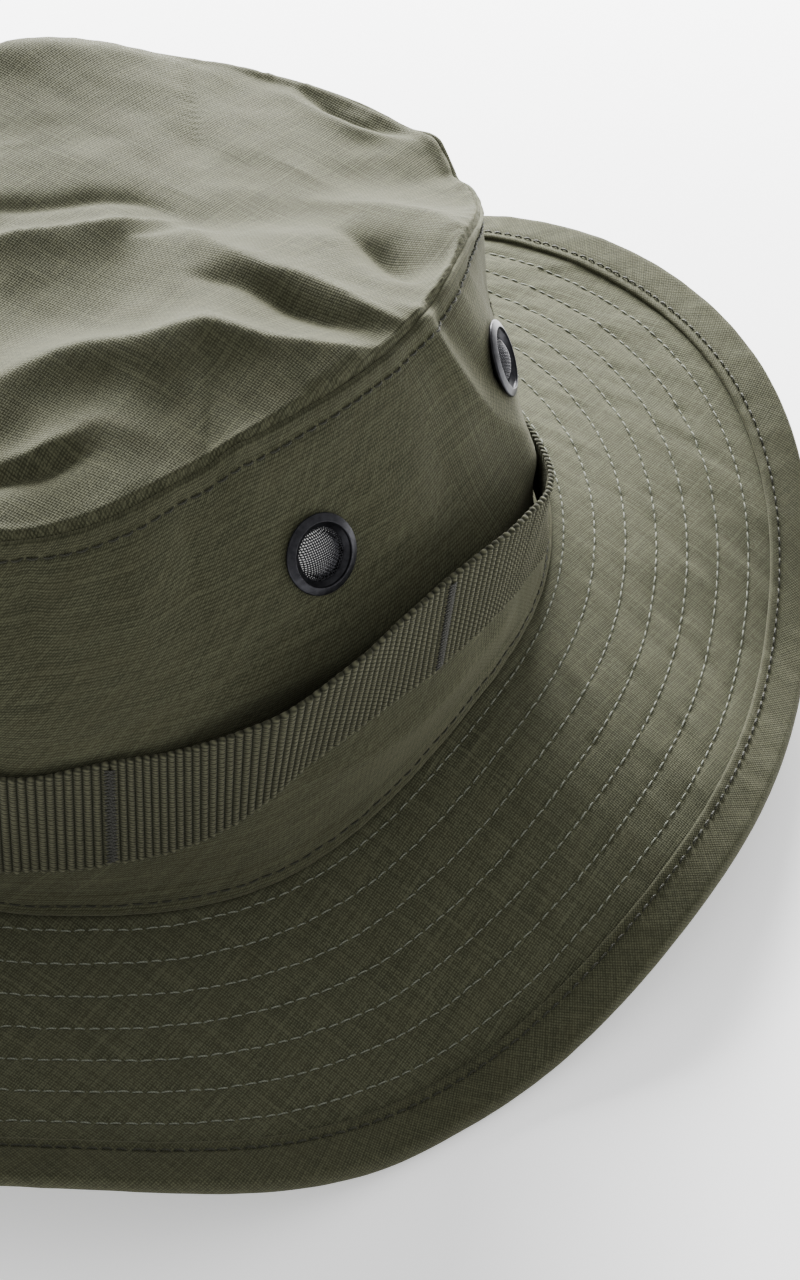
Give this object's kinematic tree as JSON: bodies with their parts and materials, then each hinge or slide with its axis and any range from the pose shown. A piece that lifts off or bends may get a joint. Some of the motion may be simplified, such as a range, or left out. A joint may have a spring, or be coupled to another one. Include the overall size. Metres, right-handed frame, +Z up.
{
  "type": "boonie hat",
  "caption": "Round-brimmed cloth field hat with a quilted brim, tacked webbing loops round the crown and screened side vents.",
  "frame": {"origin": "middle of the brim's box on the ground that the brim rests on", "axes": "+Z up through the crown, -Y to the front of the hat, +X to the wearer's left"},
  "size_m": [0.2811, 0.3224, 0.1216],
  "materials": {
    "crown_cloth": "olive ripstop poplin, matt with a faint sheen",
    "brim_cloth": "olive ripstop poplin, matt",
    "binding_cloth": "olive bias tape, weave at 45 degrees",
    "interlining": "undyed stiff cotton",
    "webbing": "olive ribbed webbing",
    "sweatband_cloth": "olive cotton tape",
    "label_cloth": "blank woven label",
    "light_thread": "pale grey-green sewing thread",
    "dark_thread": "dark olive sewing thread",
    "blackened_brass": "satin black enamel on brass",
    "woven_screen": "black woven wire screen"
  },
  "bodies": {
    "root": {"crown_top": "crown_cloth", "crown_side": "crown_cloth", "brim_upper": "brim_cloth", "brim_interlining": "interlining", "brim_under": "brim_cloth", "brim_edge_binding": "binding_cloth", "sweatband": "sweatband_cloth", "care_label": "label_cloth", "branch_loop_band": "webbing", "bar_tack_1": "dark_thread", "bar_tack_2": "dark_thread", "bar_tack_3": "dark_thread", "bar_tack_4": "dark_thread", "bar_tack_5": "dark_thread", "bar_tack_6": "dark_thread", "bar_tack_7": "dark_thread", "bar_tack_8": "dark_thread", "binding_stitch": "dark_thread", "brim_seam_topstitch": "dark_thread", "brim_stitch_row_1": "light_thread", "brim_stitch_row_2": "light_thread", "brim_stitch_row_3": "light_thread", "brim_stitch_row_4": "light_thread", "brim_stitch_row_5": "light_thread", "brim_stitch_row_6": "light_thread", "brim_stitch_row_7": "light_thread", "crown_seam_topstitch": "dark_thread", "vent_eyelet_left_front": "blackened_brass", "vent_eyelet_left_rear": "blackened_brass", "vent_eyelet_right_front": "blackened_brass", "vent_eyelet_right_rear": "blackened_brass", "vent_screen_left_front": "woven_screen", "vent_screen_left_rear": "woven_screen", "vent_screen_right_front": "woven_screen", "vent_screen_right_rear": "woven_screen", "vent_washer_left_front": "blackened_brass", "vent_washer_left_rear": "blackened_brass", "vent_washer_right_front": "blackened_brass", "vent_washer_right_rear": "blackened_brass"}
  },
  "joints": []
}
